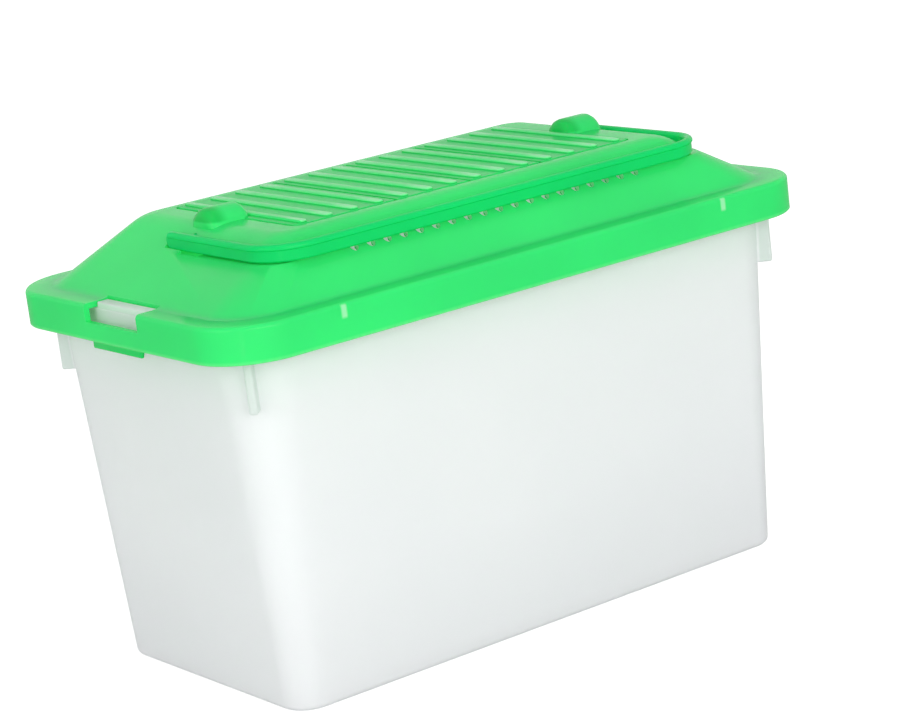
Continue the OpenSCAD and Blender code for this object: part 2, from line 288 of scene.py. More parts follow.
# %% Corner fins
FIN_H, FIN_OUT, FIN_HALF_T, FIN_ROOT = 17.5, 3.2, 0.9, 9.2
bm = bmesh.new()
for sx in (-1, 1):
    for sy in (-1, 1):
        before = set(bm.verts)
        box_mesh(bm, (FIN_ROOT, -FIN_HALF_T, RIM_Z - FIN_H),
                 (wall_u(RIM_Z - FIN_H) + FIN_OUT, FIN_HALF_T, RIM_Z - 0.6), 0.5)
        fin = [v for v in bm.verts if v not in before]
        turn = Matrix.Rotation(math.atan2(sy, sx), 4, "Z")
        place = Matrix.Translation(Vector((sx * CORNER_X, sy * CORNER_Y, 0)) * MM) @ turn
        bmesh.ops.transform(bm, matrix=place, verts=fin)
cut_or_join(tank, to_object(bm, "fins"), "UNION")

# %% [markdown]
# ## The rim's tabs
# Each end of the rim has a low tab, which stands in the lid's window when the lid is on. It is a
# plain rounded box, because it is too small to show any more form.

# %% Rim tabs
TAB_HALF_W = 9.6
bm = bmesh.new()
for s in (-1, 1):
    x0, x1 = sorted((s * (RIM_X - TAB_T), s * (RIM_X - 0.1)))
    box_mesh(bm, (x0, -TAB_HALF_W, RIM_Z - 0.6), (x1, TAB_HALF_W, RIM_Z + TAB_H), 0.3)
cut_or_join(tank, to_object(bm, "tabs"), "UNION")

# %% [markdown]
# ## The lid's shell
# The lid's outside is lofted from the skirt's lower edge to the panel. Each bend gets a few
# extra rings, because moulded plastic has no hard folds: a quarter turn at the skirt's top, and
# a smooth curve between two slopes elsewhere. A bevel on the finished shell would also round the
# bends, but rings give each bend its own reach.

# %% Bends and insets
def blend_rings(before, at, after, reach, steps=5):
    """Rings that round off the bend between two slopes, which meet at the ring in the middle."""
    def toward(other):
        span = math.dist(at, other)
        return tuple(a + (o - a) * min(0.49, reach / span) for a, o in zip(at, other))
    start, end = toward(before), toward(after)
    made = []
    for i in range(steps + 1):
        t = i / steps
        made.append(tuple((1 - t) ** 2 * s + 2 * t * (1 - t) * a + t * t * e
                          for s, a, e in zip(start, at, end)))
    return made


def inset(ring, by, z=None):
    """A ring that lies inside another by one distance all round, at its own height or another."""
    return (ring[0] - by, ring[1] - by, ring[2] - by, ring[3] if z is None else z)


print("a ledge", inset((SKIRT_X, SKIRT_Y, SKIRT_R, LEDGE_Z), LEDGE_W))

# %% [markdown]
# The outside's rings start at the skirt's lower edge and go over the ledge, up the slope and onto
# the raised top. They end in the fine groove that frames the panel.

# %% Lid shell
SKIRT_EDGE_R = 0.9
skirt = (SKIRT_X, SKIRT_Y, SKIRT_R)
foot = (FOOT_X, FOOT_Y, FOOT_R, LEDGE_Z)
top = (TOP_X, TOP_Y, TOP_R, TOP_Z)
panel = (PANEL_X, PANEL_Y, PANEL_R)
ledge = inset((*skirt, LEDGE_Z), SKIRT_EDGE_R)
top_middle = (TOP_X - 7.6, TOP_Y - 7.6, 2.0, TOP_Z)
frame_groove = ((-0.5, 0.0), (-0.4, -0.1), (-0.35, -0.35), (-0.05, -0.35), (0.0, 0.0), (0.15, 0.15))

outside = [inset((*skirt, SKIRT_Z), 0.25), (*skirt, SKIRT_Z + 0.25)]
outside += [inset((*skirt, 0), SKIRT_EDGE_R * (1 - math.cos(a)),
                  LEDGE_Z - SKIRT_EDGE_R + SKIRT_EDGE_R * math.sin(a)) for a in quarter(6)]
outside += blend_rings(ledge, foot, top, 1.6)
outside += blend_rings(foot, top, top_middle, 3.6, 8)
outside += [inset((*panel, TOP_Z + rise), by) for by, rise in frame_groove]
bm = bmesh.new()
loft(bm, outside, LID_STEPS)
lid = to_object(bm, "green_lid")

# %% [markdown]
# ## The lid's hollow
# The inside of the lid is a second, smaller loft, one wall inside the first. It isn't cut out
# yet, because the plastic has to stay thick in some places, so the hollow loses those first.

# %% Hollow of the lid
hollow_rings = [inset((*skirt, SKIRT_Z - 1), WALL - 0.3), inset((*skirt, SKIRT_Z), WALL - 0.3),
                inset((*skirt, SKIRT_Z + 0.3), WALL), inset((*skirt, RIM_Z), WALL),
                inset(foot, 0.48, RIM_Z), (TOP_X - 0.48, TOP_Y - 0.48, TOP_R, TOP_Z - WALL)]
bm = bmesh.new()
loft(bm, hollow_rings, LID_STEPS)
hollow = to_object(bm, "hollow")

# %% [markdown]
# ## The step that the handle rests in
# The folded handle lies in a step round the front of the raised top. A frame-shaped cutter makes
# the step: it is a big block with a rounded block taken out of its middle. The same shape, one
# wall lower, keeps the plastic under the step as thick as it is elsewhere.

# %% Step cutter
OVER, FLOOR_EDGE_R = 9, 0.5


def frame_cutter(x, y, radius, z, back, name):
    """A block with a rounded hole of half size x, y, from z upwards and from the front to back."""
    edge = FLOOR_EDGE_R
    bm = bmesh.new()
    box_mesh(bm, (-SKIRT_X - OVER, -SKIRT_Y - OVER, z), (SKIRT_X + OVER, back, TOP_Z + OVER))
    made = to_object(bm, name)
    bm = bmesh.new()
    rings = [(x + edge, y + edge, radius + edge, z - 1), (x + edge, y + edge, radius + edge, z)]
    for a in quarter(4, 1):
        out = edge * (1 - math.sin(a))
        rings.append((x + out, y + out, radius + out, z + edge * (1 - math.cos(a))))
    rings += [(x, y, radius, TOP_Z + 12)]
    loft(bm, rings, CUTTER_STEPS)
    cut_or_join(made, to_object(bm, name + "_core"), "DIFFERENCE")
    return made


under_step = frame_cutter(SEAT_X - WALL, SEAT_Y - WALL, SEAT_R, SEAT_Z - WALL, WALL, "under_step")
cut_or_join(hollow, under_step, "DIFFERENCE")

# %% [markdown]
# ## Bosses under the pivots
# Round bosses keep the plastic thick round the pockets that the handle's ends turn in, and
# smaller ones round the bores. They are taken out of the hollow, which leaves them standing in
# the lid. A round bar along X is needed for all of them, so it is a helper.

# %% Round bars
ROD_EDGE_STEPS = 4


def rod_mesh(bm, x0, x1, radius, y=0.0, z=None, steps=48, edge=0.0):
    """A round bar along X, with its two end edges rounded by edge."""
    z = PIVOT_Z if z is None else z
    place = Matrix.Translation(Vector(((x0 + x1) / 2, y, z)) * MM) @ Matrix.Rotation(math.pi / 2, 4, "Y")
    made = bmesh.ops.create_cone(bm, cap_ends=True, segments=steps, radius1=radius * MM,
                                 radius2=radius * MM, depth=abs(x1 - x0) * MM, matrix=place)
    if edge:
        rims = [e for e in {e for v in made["verts"] for e in v.link_edges}
                if abs(e.verts[0].co.x - e.verts[1].co.x) < 1e-7]
        bmesh.ops.bevel(bm, geom=rims, offset=edge * MM, segments=ROD_EDGE_STEPS, profile=0.5,
                        affect="EDGES", material=-1)


def rod_pair(x0, x1, radius, name, **shape):
    """The same round bar at both ends of the lid."""
    bm = bmesh.new()
    for s in (-1, 1):
        rod_mesh(bm, s * x0, s * x1, radius, **shape)
    return to_object(bm, name)


print("steps round a bar's edge", ROD_EDGE_STEPS)

# %% [markdown]
# A boss reaches a little past what turns in it, so its wall is about as thick as the lid's.

# %% Bosses
BOSS_OUT, PIN_BOSS_R = 1.6, 2.55
arm_bosses = rod_pair(ARM_X - BAR_T - BOSS_OUT, ARM_X + BOSS_OUT, POCKET_R + WALL, "bosses", steps=64)
cut_or_join(hollow, arm_bosses, "DIFFERENCE")
cut_or_join(hollow, rod_pair(LUG_X - LUG_L, ARM_X - BAR_T, PIN_BOSS_R, "pin_bosses"), "DIFFERENCE")

# %% [markdown]
# The hollow now has all its thick places, so the step and then the hollow are cut from the lid.

# %% Step and hollow
cut_or_join(lid, frame_cutter(SEAT_X, SEAT_Y, SEAT_R, SEAT_Z, 0, "step"), "DIFFERENCE")
cut_or_join(lid, hollow, "DIFFERENCE")

# %% [markdown]
# ## Ribs
# Low ribs stiffen the panel of the real lid. A rib is a ball whose two halves are pulled apart
# across the lid, and which is pressed flat, so its ends and its edges are soft without a bevel.

# %% Ribs
RIBS, RIB_PITCH, RIB_R = 14, 6.25, 1.1
rib_end = PANEL_Y - 0.7 - RIB_R
bm = bmesh.new()
for i in range(RIBS):
    made = bmesh.ops.create_uvsphere(bm, u_segments=16, v_segments=12, radius=RIB_R * MM)
    for v in made["verts"]:
        v.co.y += math.copysign(rib_end * MM, v.co.y) if abs(v.co.y) > 1e-7 else 0
        v.co.z = TOP_Z * MM + 0.25 * MM + v.co.z * 0.4
    bmesh.ops.translate(bm, verts=made["verts"], vec=((i - (RIBS - 1) / 2) * RIB_PITCH * MM, 0, 0))
cut_or_join(lid, to_object(bm, "ribs"), "UNION")

# %% [markdown]
# ## Lugs
# Two half-round lugs carry the handle. Each is a short round bar that is half sunk in the raised
# top, with its end edges well rounded, as it comes out of the same mould.

# %% Lugs
lugs = rod_pair(LUG_X - LUG_L, LUG_X, LUG_R, "lugs", z=LUG_Z, edge=1.9, steps=64)
cut_or_join(lid, lugs, "UNION")

# %% [markdown]
# ## Latch tongues
# Each end of the skirt has a thick strip that hooks under the tank's rim. Its lower end hangs
# below the skirt as a tongue, which a finger pulls outwards. The strip is a box whose lower
# inner edge is pushed out, so that it slopes and slides over the rim.

# %% Tongues
HOOK_T, HOOK_H, HOOK_SLOPE, TONGUE_DROP, TONGUE_HALF_W = 1.1, 3.2, 1.0, 1.5, 9.25
bm = bmesh.new()
for s in (-1, 1):
    before = set(bm.verts)
    box_mesh(bm, (SKIRT_X - WALL - HOOK_T, -TONGUE_HALF_W, SKIRT_Z - TONGUE_DROP),
             (SKIRT_X - 0.5, TONGUE_HALF_W, SKIRT_Z + HOOK_H), 0.25)
    tongue = [v for v in bm.verts if v not in before]
    for v in tongue:
        if v.co.z < (SKIRT_Z + 0.3) * MM and v.co.x < (SKIRT_X - 0.9) * MM:
            v.co.x += HOOK_SLOPE * MM
    if s < 0:
        bmesh.ops.rotate(bm, verts=tongue, cent=(0, 0, 0), matrix=Matrix.Rotation(math.pi, 3, "Z"))
cut_or_join(lid, to_object(bm, "tongues"), "UNION")

# %% [markdown]
# ## Air slots
# Air gets in through two rows of slots high on the long slopes. A slot is a round rod whose
# halves are pulled apart, so it cuts a hole with round ends straight down, as the mould opens.

# %% Slots
SLOTS, SLOT_PITCH, SLOT_R = 19, 4.02, 1.0
SLOT_NEAR = TOP_Y + 2.1
SLOT_FAR = SLOT_NEAR + 3.6
bm = bmesh.new()
for sy in (-1, 1):
    for i in range(SLOTS):
        middle = Vector(((i - (SLOTS - 1) // 2) * SLOT_PITCH, 0, LEDGE_Z + 7)) * MM
        made = bmesh.ops.create_cone(
            bm, cap_ends=True, segments=20, radius1=SLOT_R * MM, radius2=SLOT_R * MM, depth=14 * MM,
            matrix=Matrix.Translation(middle))
        for v in made["verts"]:
            v.co.y += (SLOT_FAR - SLOT_R if v.co.y > 1e-6 else SLOT_NEAR + SLOT_R) * MM
            v.co.y *= sy
bmesh.ops.recalc_face_normals(bm, faces=bm.faces)
cut_or_join(lid, to_object(bm, "slots"), "DIFFERENCE")

# %% [markdown]
# ## Bores, pockets and windows
# The handle's pins turn in two bores, and each arm's end swings in a half-round pocket. Each
# latch has a window, which lets the mould reach its hook. The cutters are a little larger than
# what runs in them, so nothing rubs.

# %% Bores, pockets and windows
cut_or_join(lid, rod_pair(LUG_X - BORE_IN, ARM_X - 1, BORE_R, "bores", steps=32), "DIFFERENCE")
WINDOW_HALF_W, WINDOW_H = 10, 3.7
bm = bmesh.new()
for s in (-1, 1):
    rod_mesh(bm, s * (ARM_X - BAR_T - CLEAR), s * (ARM_X + 0.15), POCKET_R, steps=64)
    x0, x1 = sorted((s * (RIM_X - TAB_T - TAB_CLEAR), s * (SKIRT_X + 1)))
    box_mesh(bm, (x0, -WINDOW_HALF_W, LEDGE_Z - WINDOW_H), (x1, WINDOW_HALF_W, LEDGE_Z + 2))
cut_or_join(lid, to_object(bm, "pockets"), "DIFFERENCE")

# %% [markdown]
# ## Grooves
# Three fine grooves divide the panel. They run between two ribs and reach a little past the
# panel's edges, so no thin sliver is left at their ends.

# %% Grooves
GROOVE_PITCH, GROOVE_HALF_W = 3 * RIB_PITCH, 0.4
bm = bmesh.new()
for i in (-1, 0, 1):
    x = i * GROOVE_PITCH
    box_mesh(bm, (x - GROOVE_HALF_W, -PANEL_Y - 0.2, TOP_Z - 0.3),
             (x + GROOVE_HALF_W, PANEL_Y + 0.2, TOP_Z + 0.9))
cut_or_join(lid, to_object(bm, "grooves"), "DIFFERENCE")

# %% [markdown]
# ## The carry handle's section
# The handle is one bar bent into a U. Its section is drawn once, as points of a distance in from
# the outer face and a height. The outer face has a proud band along its top, which catches the
# light as a fine line, and the top is half an ellipse.

# %% Section of the bar
z0, z1 = handle_low.z / MM, handle_high.z / MM
arm_end = handle_high.y / MM
crown_r = 0.8
section = [(0.30, z0 + 0.35), (0.65, z0), (BAR_T - 0.3, z0), (BAR_T, z0 + 0.3)]
section += [(BAR_T / 2 * (1 + math.cos(a)), z1 - crown_r + crown_r * math.sin(a))
            for a in [math.pi * i / 10 for i in range(11)]]
section += [(0.0, z1 - 1.05), (0.3, z1 - 1.3)]
print("section", len(section), "points, height", z1 - z0)

# %% [markdown]
# ## Sweeping the bar
# The section could follow a curve, but here its face is pushed and spun: straight along the arm,
# a quarter turn, along the grip, a quarter turn and back. That keeps each bend a true arc.

# %% Sweep helpers
BEND_R, BEND_STEPS, TIP = 10.0, 12, 1.2


def push_on(bm, face, move):
    """Extrudes the end face straight on and returns the new end face."""
    new = end_face(bmesh.ops.extrude_face_region(bm, geom=[face]))
    bmesh.ops.translate(bm, verts=new.verts, vec=Vector(move) * MM)
    bm.faces.remove(face)
    return new


def turn_on(bm, face, cent):
    """Spins the end face a quarter turn round an upright axis and returns the new end face."""
    made = bmesh.ops.spin(bm, geom=[face], cent=Vector(cent) * MM, axis=(0, 0, 1),
                          angle=math.pi / 2, steps=BEND_STEPS, use_merge=False)
    bm.faces.remove(face)
    return end_face(made, "geom_last")


bend_x, bend_y = ARM_X - BEND_R, BAR_Y - BEND_R
print("the bends' centres", bend_x, bend_y)

# %% [markdown]
# The section's face is made at the end of the left arm, and the two helpers carry it round to the
# end of the right one. A copy of the first face closes the start of the bar.

# %% The bar
arm_l = arm_end - TIP + bend_y
bm = bmesh.new()
face = bm.faces.new([bm.verts.new(Vector((-ARM_X + u, arm_end - TIP, z)) * MM) for u, z in section])
first_end = face.copy()  # stays behind as the closed start of the bar
first_end.normal_flip()
face = push_on(bm, face, (0, -arm_l, 0))
face = turn_on(bm, face, (-bend_x, -bend_y, 0))
face = push_on(bm, face, (2 * bend_x, 0, 0))
face = turn_on(bm, face, (bend_x, -bend_y, 0))
face = push_on(bm, face, (0, arm_l, 0))
bmesh.ops.remove_doubles(bm, verts=bm.verts, dist=1e-6)
bmesh.ops.recalc_face_normals(bm, faces=bm.faces)
handle = to_object(bm, "green_handle")
print("bar", len(handle.data.polygons), "faces")

# %% [markdown]
# ## Pins and round ends
# A short pin on the inside of each arm turns in the lug's bore, a little thinner than the bore.
# Each arm ends in a round disc as high as the bar, so it can turn in its pocket.

# %% Pins and round ends
cut_or_join(handle, rod_pair(LUG_X - PIN_IN, ARM_X - 1, PIN_R, "pins", steps=32), "UNION")
half_h = (z1 - z0) / 2
round_ends = rod_pair(ARM_X - BAR_T, ARM_X - 0.3, half_h, "round_ends", y=arm_end - half_h, edge=0.3)
cut_or_join(handle, round_ends, "UNION")

# %% [markdown]
# ## Node helpers for the plastics
# Both plastics are a Principled shader whose colour is built from masks. A mask is a number that
# is one on a small region and zero elsewhere, worked out from the point's place on the object.
# Places are given in millimetres, like every size above.

# %% Node helpers
def node_material(name):
    mat = bpy.data.materials.new(name)
    mat.use_nodes = True
    tree = mat.node_tree
    tree.nodes.clear()
    out = tree.nodes.new("ShaderNodeOutputMaterial")
    shader = tree.nodes.new("ShaderNodeBsdfPrincipled")
    tree.links.new(shader.outputs[0], out.inputs[0])
    coords = tree.nodes.new("ShaderNodeTexCoord")
    print("material", name)
    return mat, tree, shader, coords


def noise(tree, coords, scale, detail=3.0, rough=0.5):
    n = tree.nodes.new("ShaderNodeTexNoise")
    n.inputs["Scale"].default_value = scale
    n.inputs["Detail"].default_value = detail
    n.inputs["Roughness"].default_value = rough
    tree.links.new(coords.outputs["Object"], n.inputs["Vector"])
    return n.outputs["Fac"]


def mix_colour(tree, fac, a, b):
    m = tree.nodes.new("ShaderNodeMix")
    m.data_type = "RGBA"
    for socket, value in ((m.inputs[0], fac), (m.inputs[6], a), (m.inputs[7], b)):
        if isinstance(value, (float, int)):
            socket.default_value = value
        elif isinstance(value, tuple):
            socket.default_value = (*value, 1)
        else:
            tree.links.new(value, socket)
    return m.outputs[2]


def ramp(tree, value, low, high, a=0.0, b=1.0):
    """A smooth change from a to b as the value goes from low to high."""
    m = tree.nodes.new("ShaderNodeMapRange")
    m.interpolation_type = "SMOOTHSTEP"
    for key, number in (("From Min", low), ("From Max", high), ("To Min", a), ("To Max", b)):
        m.inputs[key].default_value = number
    tree.links.new(value, m.inputs["Value"])
    return m.outputs["Result"]


def math_node(tree, kind, a, b=None):
    m = tree.nodes.new("ShaderNodeMath")
    m.operation = kind
    for socket, value in zip(m.inputs, (a, b)):
        if value is None:
            continue
        if isinstance(value, (float, int)):
            socket.default_value = value
        else:
            tree.links.new(value, socket)
    return m.outputs[0]


print("helpers for materials, noise, colour, ramps and sums")

# %% [markdown]
# ## Mask helpers
# A mask's edge is a short smooth ramp, so a tint never ends in a hard line. Multiplying the masks
# of the three axes leaves a soft box. Object coordinates move with the part, so a tint stays on
# its feature when the handle swings or the lid lifts.

# %% Mask helpers
def axis(tree, coords, which):
    s = tree.nodes.new("ShaderNodeSeparateXYZ")
    tree.links.new(coords.outputs["Object"], s.inputs[0])
    return s.outputs[which]


def off_axis(tree, coords, which):
    """The distance from the middle plane across one axis."""
    return math_node(tree, "ABSOLUTE", axis(tree, coords, which))


def past(tree, value, start, full):
    """A mask that goes from zero at start to one at full, both in millimetres."""
    return ramp(tree, value, start * MM, full * MM)


def within(tree, value, full, end):
    """A mask that goes from one at full to zero at end, both in millimetres."""
    return ramp(tree, value, full * MM, end * MM, 1.0, 0.0)


def times(tree, *parts):
    """The product of several masks or numbers."""
    result = parts[0]
    for part in parts[1:]:
        result = math_node(tree, "MULTIPLY", result, part)
    return result


print("helpers for masks")

# %% [markdown]
# ## Light through a thin wall
# Both plastics are thin enough to glow when the light is behind them. Full transmission would
# make them look like glass, so a share of a translucent shader is mixed in instead.

# %% Light through the wall
THROUGH = 0.3


def let_through(tree, shader, colour, share):
    """Sends a share of the light on through the wall, as a thin cloudy plastic does."""
    thin = tree.nodes.new("ShaderNodeBsdfTranslucent")
    mix = tree.nodes.new("ShaderNodeMixShader")
    mix.inputs[0].default_value = share
    tree.links.new(colour, thin.inputs["Color"])
    tree.links.new(shader.outputs[0], mix.inputs[1])
    tree.links.new(thin.outputs[0], mix.inputs[2])
    tree.links.new(mix.outputs[0], tree.nodes["Material Output"].inputs[0])


def finish_plastic(tree, shader, colour):
    tree.links.new(colour, shader.inputs["Base Color"])
    let_through(tree, shader, colour, THROUGH)


print("share of light let through", THROUGH)

# %% [markdown]
# ## Where the panel's colour changes
# The ribs are painted pale, as a painted highlight on their rounded tops and above all on their
# ends. The flat of the panel between them is painted deeper, as painted shade on the flat top.

# %% Masks on the panel
RIBS_HALF = 41.2
RIB_HIGHLIGHT_FROM, RIB_HIGHLIGHT_TO = 12, 20


def rib_highlight_mask(tree, coords):
    """One on the panel's ribs, where a highlight is painted, strongest towards their ends, and zero
    elsewhere.
    """
    ends = ramp(tree, off_axis(tree, coords, "Y"), RIB_HIGHLIGHT_FROM * MM, RIB_HIGHLIGHT_TO * MM, 0.35, 1.0)
    return times(tree, past(tree, axis(tree, coords, "Z"), TOP_Z + 0.2, TOP_Z + 0.6),
                 within(tree, off_axis(tree, coords, "X"), RIBS_HALF, RIBS_HALF + 0.2), ends)


def panel_mask(tree, coords):
    """One on the flat of the panel, between its edges, where shade is painted and the gloss is lower, and
    zero elsewhere.
    """
    z = axis(tree, coords, "Z")
    return times(tree, within(tree, off_axis(tree, coords, "X"), PANEL_X - 0.1, PANEL_X + 0.3),
                 within(tree, off_axis(tree, coords, "Y"), PANEL_Y - 0.1, PANEL_Y + 0.3),
                 past(tree, z, TOP_Z - 0.8, TOP_Z - 0.5), within(tree, z, TOP_Z + 0.2, TOP_Z + 0.3))


print("panel", 2 * PANEL_X, "by", 2 * PANEL_Y)

# %% [markdown]
# ## Where the slope's and the skirt's colour changes
# The slots' walls are painted pale, as painted light for the highlights on their lips and the green
# light seen through them. Four small marks on the skirt's long sides are pale too. They are given as colour
# alone, since nothing stands out there.

# %% Masks on the slope and the skirt
SLOTS_HALF = 37.5
MARK_X, MARK_HALF_W = 48.8, 0.9


def slot_light_mask(tree, coords):
    """One on the walls of the slots, which lie below the slope's outer face, where light is painted, and
    zero elsewhere.
    """
    y = off_axis(tree, coords, "Y")
    slope = RISE / SIDE_RUN
    face = math_node(tree, "SUBTRACT", (TOP_Z + TOP_Y * slope) * MM, times(tree, y, slope))
    depth = math_node(tree, "SUBTRACT", face, axis(tree, coords, "Z"))
    return times(tree, past(tree, depth, 0.05, 0.15), within(tree, depth, 1.5, 1.6),
                 past(tree, y, SLOT_NEAR - 0.6, SLOT_NEAR - 0.4),
                 within(tree, y, SLOT_FAR + 0.1, SLOT_FAR + 0.2),
                 within(tree, off_axis(tree, coords, "X"), SLOTS_HALF, SLOTS_HALF + 0.1))


def mark_mask(tree, coords):
    """One on four small pale marks of the skirt's long sides, and zero elsewhere."""
    z = axis(tree, coords, "Z")
    aside = math_node(tree, "SUBTRACT", off_axis(tree, coords, "X"), MARK_X * MM)
    return times(tree, within(tree, math_node(tree, "ABSOLUTE", aside), 0.3, MARK_HALF_W),
                 past(tree, off_axis(tree, coords, "Y"), SKIRT_Y - 1, SKIRT_Y - 0.8),
                 past(tree, z, LEDGE_Z - 3.3, LEDGE_Z - 2.5), within(tree, z, LEDGE_Z - 0.6, LEDGE_Z - 0.1))


print("slots lie between", SLOT_NEAR, "and", SLOT_FAR, "and marks at", MARK_X)

# %% [markdown]
# ## Where the pivots' colour changes
# The left end of each lug is painted darker, as painted shade on the faces that turn from the lamps.
# Light that has come through the lid gathers in the pockets of the arms. A render loses most of it,
# so the pockets get a weak painted glow of their own.

# %% Masks at the pivots
lug_in = LUG_X - LUG_L


def lug_shade_mask(tree, coords):
    """One on the left end of each lug, where shade is painted, and zero elsewhere."""
    x = axis(tree, coords, "X")
    left = within(tree, x, 1.7 - LUG_X, 4.7 - LUG_X)
    right = times(tree, past(tree, x, lug_in - 1.1, lug_in - 0.4),
                  within(tree, x, lug_in + 1.4, lug_in + 4.4))
    near = times(tree, past(tree, axis(tree, coords, "Z"), TOP_Z + 0.2, TOP_Z + 0.8),
                 within(tree, off_axis(tree, coords, "Y"), LUG_R + 0.3, LUG_R + 0.5))
    return times(tree, math_node(tree, "MAXIMUM", left, right), near)


def pocket_glow_mask(tree, coords):
    """One on the walls of the arms' pockets, below the step, where a glow is painted, and zero elsewhere.
    """
    x = off_axis(tree, coords, "X")
    z = axis(tree, coords, "Z")
    return times(tree, past(tree, x, ARM_X - BAR_T - 0.6, ARM_X - BAR_T - 0.5),
                 within(tree, x, ARM_X + 0.2, ARM_X + 0.3),
                 within(tree, off_axis(tree, coords, "Y"), POCKET_R + 0.1, POCKET_R + 0.2),
                 within(tree, z, SEAT_Z - 0.1, SEAT_Z),
                 past(tree, z, PIVOT_Z - POCKET_R - 0.2, PIVOT_Z - POCKET_R - 0.1))


print("lugs from", lug_in, "to", LUG_X, "and pockets down to", PIVOT_Z - POCKET_R)

# %% [markdown]
# ## Moulded green plastic
# Polypropylene takes a strong dye but lets some light into it. The base colour changes slowly
# over the part, as the melt flowed, and gets paler along the thin lower edge. The roughness
# varies a little, which gives the soft, uneven gloss of a cheap mould without a bump.

# %% Green plastic
EDGE_GREEN, TONGUE_GREEN = (0.20, 0.92, 0.33), (0.01, 0.6, 0.12)
FLOW_SHADE, PLASTIC_IOR = 0.93, 1.49


def green_plastic(name, base, edge_z, gloss, rough):
    """A dyed plastic, paler in the millimetre above edge_z and deeper below it."""
    mat, tree, shader, coords = node_material(name)
    flow = ramp(tree, noise(tree, coords, 28.0, 2.0), 0.3, 0.7)
    colour = mix_colour(tree, flow, base, tuple(c * FLOW_SHADE for c in base))
    z = axis(tree, coords, "Z")
    thin = times(tree, within(tree, z, edge_z, edge_z + 1.0), past(tree, z, edge_z - 0.25, edge_z - 0.05))
    colour = mix_colour(tree, times(tree, thin, 0.7), colour, EDGE_GREEN)
    tongue = within(tree, z, edge_z - 0.3, edge_z - 0.1)
    colour = mix_colour(tree, times(tree, tongue, 0.6), colour, TONGUE_GREEN)
    tree.links.new(ramp(tree, noise(tree, coords, 160.0), 0.3, 0.7, rough, rough + 0.07),
                   shader.inputs["Roughness"])
    shader.inputs["IOR"].default_value = PLASTIC_IOR
    shader.inputs["Subsurface Weight"].default_value = 0.25
    shader.inputs["Subsurface Radius"].default_value = (0.2, 1.0, 0.4)
    shader.inputs["Subsurface Scale"].default_value = 0.002
    shader.inputs["Specular IOR Level"].default_value = gloss
    return mat, tree, shader, coords, colour


print("edge", EDGE_GREEN, "tongues", TONGUE_GREEN)

# %% [markdown]
# ## The lid's finish
# The lid is the same plastic with its masks on top, one tint for each. The flat of the panel is
# also less glossy than the rest, so its gloss follows the panel's mask.

# %% Finish of the lid
LID_GREEN, LID_GLOSS, LID_ROUGH = (0.045, 0.88, 0.225), 0.22, 0.18
# The ribs' tint on the next line is a painted highlight, the slots' tint painted light and the panel's tint
# painted shade.
PANEL_SHADE_GREEN, SLOT_LIGHT_GREEN, RIB_HIGHLIGHT_GREEN = (0.03, 0.66, 0.15), (0.45, 0.97, 0.6), (0.36, 0.97, 0.5)
# The lugs' tint on the next line is painted shade, and the pockets' glow is painted light.
MARK_GREEN, LUG_SHADE_GREEN, POCKET_GLOW = (0.5, 0.96, 0.6), (0.004, 0.57, 0.09), (0.06, 0.9, 0.25, 1)
POCKET_LIGHT, PANEL_GLOSS = 0.28, LID_GLOSS * 0.3
lid_finish, tree, shader, coords, colour = green_plastic(
    "green_polypropylene", LID_GREEN, SKIRT_Z, LID_GLOSS, LID_ROUGH)
for mask, share, tint in ((panel_mask, 0.5, PANEL_SHADE_GREEN), (slot_light_mask, 0.9, SLOT_LIGHT_GREEN),
                          (rib_highlight_mask, 1.0, RIB_HIGHLIGHT_GREEN), (mark_mask, 0.8, MARK_GREEN),
                          (lug_shade_mask, 0.8, LUG_SHADE_GREEN)):
    colour = mix_colour(tree, times(tree, mask(tree, coords), share), colour, tint)
shader.inputs["Emission Color"].default_value = POCKET_GLOW
tree.links.new(times(tree, pocket_glow_mask(tree, coords), POCKET_LIGHT), shader.inputs["Emission Strength"])
tree.links.new(ramp(tree, panel_mask(tree, coords), 0.0, 1.0, LID_GLOSS, PANEL_GLOSS),
               shader.inputs["Specular IOR Level"])
finish_plastic(tree, shader, colour)
print("lid nodes", len(tree.nodes))

# %% [markdown]
# ## The handle's finish
# The handle is a thicker bar, so its dye looks deeper. It has no thin edge and no tongue, so the
# edge's height is the floor, where no point of the handle lies.

# %% Finish of the handle
HANDLE_GREEN, HANDLE_GLOSS, HANDLE_ROUGH = (0.008, 0.76, 0.195), 0.12, 0.16
handle_finish, tree, shader, coords, colour = green_plastic(
    "green_handle_plastic", HANDLE_GREEN, 0, HANDLE_GLOSS, HANDLE_ROUGH)
finish_plastic(tree, shader, colour)
print("handle nodes", len(tree.nodes))

# %% [markdown]
# ## Where the tank's colour changes
# The fins and the rim stand out past the tapered wall, so one distance, measured out from the
# corners' centres, tells them from the wall and the wall's outside from its inside. The tabs are
# found by their height alone.

# %% Masks on the tank
MOUTH_LOW, MOUTH_HIGH = 62, 71


def outward(tree, coords):
    """How far a point lies past the corners' centres, with the wall's taper taken off."""
    squares = []
    for which, corner in (("X", CORNER_X), ("Y", CORNER_Y)):
        over = math_node(tree, "SUBTRACT", off_axis(tree, coords, which), corner * MM)
        over = math_node(tree, "MAXIMUM", over, 0.0)
        squares.append(times(tree, over, over))
    reach = math_node(tree, "SQRT", math_node(tree, "ADD", *squares))
    return math_node(tree, "SUBTRACT", reach, times(tree, axis(tree, coords, "Z"), TAPER))


def tab_lid_light_mask(tree, coords):
    """One on the sides of the rim's tabs, where green light from the lid is painted, and zero on their tops
    and elsewhere.
    """
    z = axis(tree, coords, "Z")
    return times(tree, past(tree, z, RIM_Z - 0.3, RIM_Z + 0.1),
                 within(tree, z, RIM_Z + TAB_H - 0.25, RIM_Z + TAB_H - 0.05))


